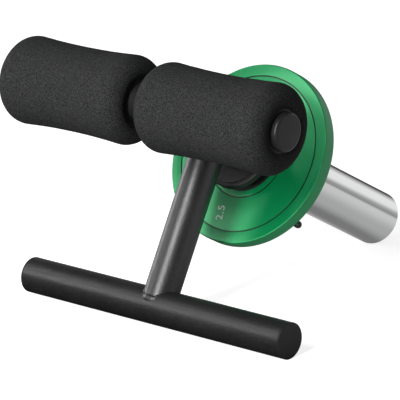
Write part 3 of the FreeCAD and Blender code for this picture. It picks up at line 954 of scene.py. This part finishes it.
@dataclass
class Frame:
    """The welded frame: its beads, which show as lumpy runs on the plain tubes."""

    axes: BarAxes
    bar_r: float = 15.9 * MM
    post_r: float = 15.5 * MM
    bead_points: int = 220
    line_points: int = 48
    web_bead_r: float = 2.2 * MM
    flange_gap: float = 1.4 * MM
    web_half: float = 4 * MM
    nose_half: float = 12 * MM
    tongue: float = 20 * MM
    shaft_lead: float = 50 * MM
    fillet_inset: float = 3.5 * MM
    fillet_r: float = 4.7 * MM
    low_share: float = 0.48

    def saddle(self, flip: bool) -> list[Vector]:
        """A line just inside the joint of the post and a tube that crosses it.

        Args:
            flip: True for the post's head, where the tube runs along Y.

        Returns:
            The line's points in the bar's own axes.
        """
        points = []
        inner_r = self.post_r - self.fillet_inset
        for c, s in full_turn(self.bead_points):
            height = math.sqrt(self.bar_r ** 2 - (self.post_r * (c if flip else s)) ** 2)
            height = max(height, self.bar_r * self.low_share) - self.fillet_inset
            up = self.axes.rise - height if flip else height
            points.append(Vector((inner_r * c, inner_r * s, up)))
        return points

    def bow(self, side: int) -> list[Vector]:
        """The line where the neck blade's one side meets the crossbar.

        Args:
            side: 1 for the near side, or -1 for the far side.

        Returns:
            The line's points in the bar's own axes.
        """
        limit = math.asin(self.nose_half / self.bar_r)
        return [Vector((side * self.web_half, -self.axes.reach + self.bar_r * math.cos(angle),
                        self.axes.rise + self.bar_r * math.sin(angle)))
                for angle in steps_between(-limit, limit, self.line_points)]

    def build(self, wardrobe: Wardrobe) -> None:
        """Lays each bead.

        Args:
            wardrobe: The materials.
        """
        place = self.axes.matrix
        for name, flip, node in (("bead_post_foot", False, "weld_post_foot"),
                                 ("bead_post_head", True, "weld_post_head")):
            WeldBead(name, self.saddle(flip), place, True, node, radius=self.fillet_r,
                     ripple_share=0.01, lump_share=0.05).build(wardrobe)
        flange_front = (place.inverted() @ box_middle("weld_flange")).y
        ring = [Vector((self.bar_r * c, flange_front + self.flange_gap,
                        self.axes.rise + self.bar_r * s))
                for c, s in full_turn(self.bead_points)]
        WeldBead("bead_flange", ring, place, True, "weld_flange").build(wardrobe)
        height = math.sqrt(self.bar_r ** 2 - self.web_half ** 2)
        for side, side_name in ((1, "near"), (-1, "far")):
            WeldBead(f"bead_crossbar_{side_name}", self.bow(side), place, False,
                     "weld_crossbar", radius=self.web_bead_r).build(wardrobe)
            for up, up_name in ((1, "top"), (-1, "bottom")):
                x, z = side * self.web_half, self.axes.rise + up * height
                line = [Vector((x, y, z)) for y in steps_between(
                    -self.shaft_lead, self.tongue - self.shaft_lead, self.line_points)]
                WeldBead(f"bead_neck_{side_name}_{up_name}", line, place, False,
                         "weld_neck", radius=self.web_bead_r).build(wardrobe)


@dataclass
class Plate:
    """The small green plate: its turned cover with two ring grooves, and plain weight figures.

    figure_at and figure_turn are in degrees about the plate's axis.
    """

    axes: BarAxes
    start: float = 53.7 * MM
    thick: float = 13 * MM
    rim_r: float = 82.3 * MM
    hub_r: float = 34.5 * MM
    edge_round: float = 1.2 * MM
    hub_round: float = 0.3 * MM
    groove_r: Pair = GROOVE_R
    groove_half: float = GROOVE_HALF
    groove_depth: float = 0.8 * MM
    groove_lip: float = 0.12 * MM
    groove_foot: float = 0.08 * MM
    core_r: float = 76.8 * MM
    core_half: float = 3.65 * MM
    figures: str = "2.5"
    figure_size: float = 10.4 * MM
    figure_bold: float = 0.14 * MM
    figure_space: float = 1.12
    figure_r: float = 57.2 * MM
    figure_at: float = -98.4
    figure_turn: float = 96.0
    figure_lift: float = 0.12 * MM
    figure_crease: float = 30
    segments: int = 256
    crease: float = 40

    def face(self, z: float, inward: float) -> tuple[Profile, list[float]]:
        """One face's grooves, from the hub outwards.

        Args:
            z: Where the face lies.
            inward: The direction into the plate, 1 or -1.

        Returns:
            The corners and their radii.
        """
        corners, radii = [], []
        floor = z + inward * self.groove_depth
        for middle in self.groove_r:
            low, high = middle - self.groove_half, middle + self.groove_half
            corners += [(z, low), (floor, low), (floor, high), (z, high)]
            radii += [self.groove_lip, self.groove_foot, self.groove_foot, self.groove_lip]
        return corners, radii

    def profile(self) -> Profile:
        """The cover's section round the steel disc that it hides.

        Returns:
            The closed profile.
        """
        front, front_radii = self.face(0, 1)
        rear, rear_radii = self.face(self.thick, -1)
        low, high = self.thick / 2 - self.core_half, self.thick / 2 + self.core_half
        corners = [(0, self.hub_r)] + front + [(0, self.rim_r), (self.thick, self.rim_r)]
        corners += rear[::-1] + [(self.thick, self.hub_r), (high, self.hub_r),
                                 (high, self.core_r), (low, self.core_r), (low, self.hub_r)]
        radii = [self.hub_round] + front_radii + [self.edge_round] * 2 + rear_radii[::-1]
        radii += [self.hub_round, 0, 0, 0, 0]
        return soften(corners, radii)

    def figure_mesh(self) -> Mesh:
        """The weight figures as a thin raised layer, laid on the front face.

        Returns:
            The layer in the plate's own axes.
        """
        curve = bpy.data.curves.new("figures", "FONT")
        curve.body = self.figures
        curve.size = self.figure_size
        curve.align_x = "CENTER"
        curve.align_y = "CENTER"
        curve.extrude = self.figure_lift
        curve.offset = self.figure_bold
        curve.space_character = self.figure_space
        holder = add_object("figures", curve)
        bpy.context.view_layer.update()
        seen = holder.evaluated_get(bpy.context.evaluated_depsgraph_get())
        shape = bpy.data.meshes.new_from_object(seen)
        bpy.data.objects.remove(holder)
        bpy.data.curves.remove(curve)
        mesh = bmesh.new()
        mesh.from_mesh(shape)
        bpy.data.meshes.remove(shape)
        way, at = math.radians(self.figure_turn), math.radians(self.figure_at)
        reading = Vector((math.cos(way), -math.sin(way), 0))
        facing = Vector((0, 0, -1))
        turn = Matrix((reading, facing.cross(reading), facing)).transposed().to_4x4()
        centre = self.figure_r * Vector((math.cos(at), -math.sin(at), 0))
        mesh.transform(Matrix.Translation(centre) @ turn)
        return mesh

    def build(self, wardrobe: Wardrobe) -> None:
        """Makes the cover and its figures.

        Args:
            wardrobe: The materials.
        """
        place = self.axes.along_sleeve(self.start)
        cover = add_piece("plate_skin", lathe(self.profile(), self.segments), place, self.crease)
        wardrobe.dress(cover, Slot.PLATE_RUBBER, "plate", "plate_cover")
        print_layer = add_piece("weight_figures", self.figure_mesh(), place, self.figure_crease)
        wardrobe.print_on(print_layer, FIGURE_PAINT, "plate")


@dataclass
class CrossbarCap:
    """A pressed-in end cap of the crossbar, with a rounded edge and a flat face."""

    axes: BarAxes
    side: str
    head_r: float = 16.8 * MM
    head: float = 7 * MM
    stem_r: float = 13.25 * MM
    stem: float = 16 * MM
    edge_round: float = 3 * MM
    stem_round: float = 1.2 * MM
    root_round: float = 0.2 * MM
    back_round: float = 0.4 * MM
    segments: int = 128
    crease: float = 35

    def build(self, wardrobe: Wardrobe) -> None:
        """Makes the cap and lets it stand for its CAD solid.

        Args:
            wardrobe: The materials.
        """
        end = self.stem + self.head
        corners = [(0, 0), (0, self.stem_r), (self.stem, self.stem_r), (self.stem, self.head_r),
                   (end, self.head_r), (end, 0)]
        radii = [0, self.stem_round, self.root_round, self.back_round, self.edge_round, 0]
        mesh = lathe(soften(corners, radii), self.segments)
        node = f"crossbar_cap_{self.side}"
        sign = 1 if self.side == "right" else -1
        near = max(abs(corner[0]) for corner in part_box(node))
        place = self.axes.along_crossbar(sign * (near - end), sign)
        piece = add_piece(f"cap_{self.side}", mesh, place, self.crease)
        wardrobe.dress(piece, Slot.CAP_PLASTIC, "frame", node)


# ---- studio


@dataclass(frozen=True)
class Softbox:
    """A soft lamp, placed round the object by its bearing and height and aimed at it."""

    name: str
    bearing: float
    height_angle: float
    distance: float
    width: float
    height: float
    power: float

    def build(self, aim: Vector) -> None:
        """Hangs the lamp.

        Args:
            aim: Where it points.
        """
        light = bpy.data.lights.new(self.name, "AREA")
        light.shape = "RECTANGLE"
        light.size, light.size_y = self.width, self.height
        light.energy = self.power
        lamp = add_object(self.name, light)
        lamp.location = aim + direction(self.bearing, self.height_angle) * self.distance
        lamp.rotation_euler = (aim - lamp.location).to_track_quat("-Z", "Y").to_euler()


def direction(bearing: float, height_angle: float) -> Vector:
    """A unit vector from a bearing and a height angle.

    Args:
        bearing: Degrees round from the front, towards the right.
        height_angle: Degrees above the ground.

    Returns:
        The vector.
    """
    b, h = math.radians(bearing), math.radians(height_angle)
    return Vector((math.sin(b) * math.cos(h), -math.cos(b) * math.cos(h), math.sin(h)))


@dataclass(frozen=True)
class Studio:
    """A white studio: a pale floor, soft lamps, and the camera at the photograph's angle."""

    bearing: float = 40.966
    height_angle: float = 16.659
    roll: float = -1.049
    distance: float = 2.8
    aim: tuple[float, float, float] = (-0.012, -0.06567, 0.09232)
    focal_mm: float = 288.75
    sensor_mm: float = 36.0
    clip: Pair = (0.1, 60)
    # The world's brightness on rays that light the bar.
    ambient: float = 0.13
    # What the chrome mirrors above the floor. Pairs are where a change starts and ends, along one
    # axis of the direction: Z for the ceiling and the walls' foot, Y from front to back, X from
    # left to right. The other numbers are how bright each wall is.
    wall_top: float = 0.3
    ceiling_start: float = 0.42
    ceiling: float = 0.1
    front_wall: float = 0.22
    back_from: Pair = (-0.3, 0.2)
    left_end: Pair = (-0.44, -0.03)
    left_side: Pair = (-0.8, -0.62)
    left_wall: float = 0.06
    wall_foot: Pair = (0.0, 0.07)
    wall_low: float = 0.6
    window_sill: float = 0.3
    window_lean: Pair = (0.45, 0.85)
    window_reach: Pair = (-0.35, 0.5)
    window_glow: float = 0.9
    soft_edge: float = 0.06
    # The floor: its own grey, how bright the camera sees it, and what the chrome mirrors of it,
    # as degrees about the sleeve's foot and brightness.
    floor_size: float = 30.0
    floor_cells: int = 8
    floor_rough: float = 0.9
    floor_grey: float = 0.55
    floor_glow: float = 0.8
    sleeve_foot: Pair = (0.01, 0.2)
    table: tuple[Pair, ...] = (
        (-180, 0.24), (-168, 0.24), (-140, 0.5), (-60, 0.55), (-46, 0.5), (-35, 0.06),
        (-24, 0.08), (-8, 0.5), (0, 0.55), (24, 0.53), (33, 0.37), (41, 0.36), (49, 0.72),
        (70, 0.76), (90, 0.69), (109, 0.63), (125, 0.56), (140, 0.51), (160, 0.49), (169, 0.4),
        (176, 0.28), (180, 0.24),
    )
    # Painted shade: how dark reflections see the floor in front of the bar, for the bar's shade.
    painted_floor_shade: float = 0.05
    front_edge: Pair = (-0.11, -0.03)
    right_edge: Pair = (0.14, 0.18)
    lamp_aim: tuple[float, float, float] = (0.0, 0.0, 0.11)
    lamps: tuple[Softbox, ...] = (
        Softbox("front_strip", 6, 25, 2.2, 0.55, 1.9, 76),
        Softbox("left_strip", -84, 15, 2.2, 0.5, 1.3, 15),
        Softbox("low_box", -46, 19, 2.2, 0.5, 0.4, 7),
        Softbox("high_box", -53, 38, 2.2, 0.5, 0.3, 2.2),
    )

    def build(self) -> None:
        """Sets up the camera, the lamps, the world and the floor."""
        self._camera()
        for lamp in self.lamps:
            lamp.build(Vector(self.lamp_aim))
        self._world()
        self._floor()
        bpy.context.scene.view_settings.view_transform = "Standard"

    def _camera(self) -> None:
        """Places the camera."""
        data = bpy.data.cameras.new("camera")
        data.sensor_fit = "HORIZONTAL"
        data.sensor_width = self.sensor_mm
        data.lens = self.focal_mm
        data.clip_start, data.clip_end = self.clip
        camera = add_object("camera", data)
        aim = Vector(self.aim)
        away = direction(self.bearing, self.height_angle)
        turn = (-away).to_track_quat("-Z", "Y").to_matrix().to_4x4()
        roll = Matrix.Rotation(math.radians(self.roll), 4, "Z")
        camera.matrix_world = Matrix.Translation(aim + away * self.distance) @ turn @ roll
        bpy.context.scene.camera = camera

    @staticmethod
    def _glow(sheet: Sheet, seen: float, mirrored: object, rest: float) -> Socket:
        """How bright a backdrop is on each kind of ray.

        Args:
            sheet: The node tree.
            seen: The brightness on rays from the camera and through clear materials.
            mirrored: The brightness in reflections, a number or a socket.
            rest: The brightness on every other ray.

        Returns:
            The brightness.
        """
        path = sheet.node("LightPath")
        direct = sheet.maths("MAXIMUM", path.outputs["Is Camera Ray"],
                             path.outputs["Is Transmission Ray"])
        mirror = sheet.remap(path.outputs["Is Glossy Ray"], 0.0, 1.0, rest, mirrored)
        return sheet.remap(direct, 0.0, 1.0, mirror, seen)

    def _world(self) -> None:
        """A plain pale world that is white where it is seen."""
        world = bpy.data.worlds.new("studio")
        bpy.context.scene.world = world
        world.use_nodes = True
        sheet = Sheet(world.node_tree)
        way = sheet.parts("Generated")
        roof = sheet.remap(way["Z"], self.wall_top, self.ceiling_start, 1.0, self.ceiling)
        foot = sheet.remap(way["Z"], *self.wall_foot, self.wall_low, 1.0)
        back = sheet.remap(way["Y"], *self.back_from, self.front_wall, 1.0)
        left = sheet.maths("MAXIMUM",
                           sheet.remap(way["X"], *self.left_end, self.left_wall, 1.0),
                           sheet.remap(way["X"], *self.left_side, 1.0, self.left_wall))
        walls = sheet.product(back, left, roof, foot)
        mirrored = sheet.maths("MAXIMUM", walls, self._window(sheet, way))
        sheet.feed(world.node_tree.nodes["Background"], {
            "Color": WHITE, "Strength": self._glow(sheet, 1.0, mirrored, self.ambient)})

    def _window(self, sheet: Sheet, way: Outputs) -> Socket:
        """A bright window in the roof, for the chrome as it is seen from behind.

        Args:
            sheet: The world's node tree.
            way: The direction's parts.

        Returns:
            The window's brightness.
        """
        lean = sheet.maths("DIVIDE", way["X"], way["Z"])
        sill, soft = self.window_sill, self.soft_edge
        shares = [sheet.remap(way["Z"], sill, sill + soft, 0.0, self.window_glow)]
        for value, (low, high) in ((lean, self.window_lean), (way["Y"], self.window_reach)):
            shares += [sheet.remap(value, low - soft, low),
                       sheet.remap(value, high, high + soft, 1.0, 0.0)]
        return sheet.product(*shares)

    def _floor(self) -> None:
        """A white floor that keeps the object's shadow."""
        mesh = bmesh.new()
        bmesh.ops.create_grid(mesh, x_segments=self.floor_cells, y_segments=self.floor_cells,
                              size=self.floor_size / 2)
        floor = add_piece("floor", mesh, Matrix.Identity(4))
        material, sheet, shader = new_material("studio_floor")
        glossy = sheet.node("LightPath").outputs["Is Glossy Ray"]
        sheet.feed(shader, {
            "Base Color": sheet.remap(glossy, 0.0, 1.0, self.floor_grey, 0.0),
            "Roughness": self.floor_rough, "Specular IOR Level": 0.0, "Emission Color": WHITE,
            "Emission Strength": self._glow(sheet, self.floor_glow,
                                            self._mirrored_floor(sheet), 0.0)})
        floor.data.materials.append(material)

    def _mirrored_floor(self, sheet: Sheet) -> Socket:
        """How bright reflections see the floor.

        The tone goes by the angle about the place where the sleeve meets the floor, so the
        lines in the chrome run along the sleeve. The floor in front is dark, as painted shade of the
        bar on the floor.

        Args:
            sheet: The floor's node tree.

        Returns:
            The brightness.
        """
        place = sheet.parts()
        across, along = place["X"], place["Y"]
        angle = sheet.maths("ARCTAN2", sheet.maths("SUBTRACT", across, self.sleeve_foot[0]),
                            sheet.maths("SUBTRACT", along, self.sleeve_foot[1]))
        ramp = sheet.node("ValToRGB")
        sheet.feed(ramp, {"Fac": sheet.remap(angle, -math.pi, math.pi)})
        stops = ramp.color_ramp.elements
        while len(stops) < len(self.table):
            stops.new(0.5)
        for stop, (degrees, tone) in zip(stops, self.table):
            stop.position = (degrees + 180) / 360
            stop.color = (tone, tone, tone, 1)
        front = sheet.remap(along, *self.front_edge, self.painted_floor_shade, 1.0)
        right = sheet.remap(across, *self.right_edge, self.painted_floor_shade, 1.0)
        return sheet.product(ramp.outputs["Color"], sheet.maths("MAXIMUM", front, right))


def main() -> None:
    """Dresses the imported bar, piece by piece, and sets up the studio."""
    logging.basicConfig(level=logging.INFO, format="%(name)s: %(message)s")
    axes = BarAxes.read()
    wardrobe = Wardrobe()
    wardrobe.dress_nodes()
    for side in ("right", "left"):
        FoamRoller(axes, side).build(wardrobe)
        CrossbarCap(axes, side).build(wardrobe)
    Frame(axes).build(wardrobe)
    Plate(axes).build(wardrobe)
    Studio().build()


if __name__ == "__main__":
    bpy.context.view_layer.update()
    main()
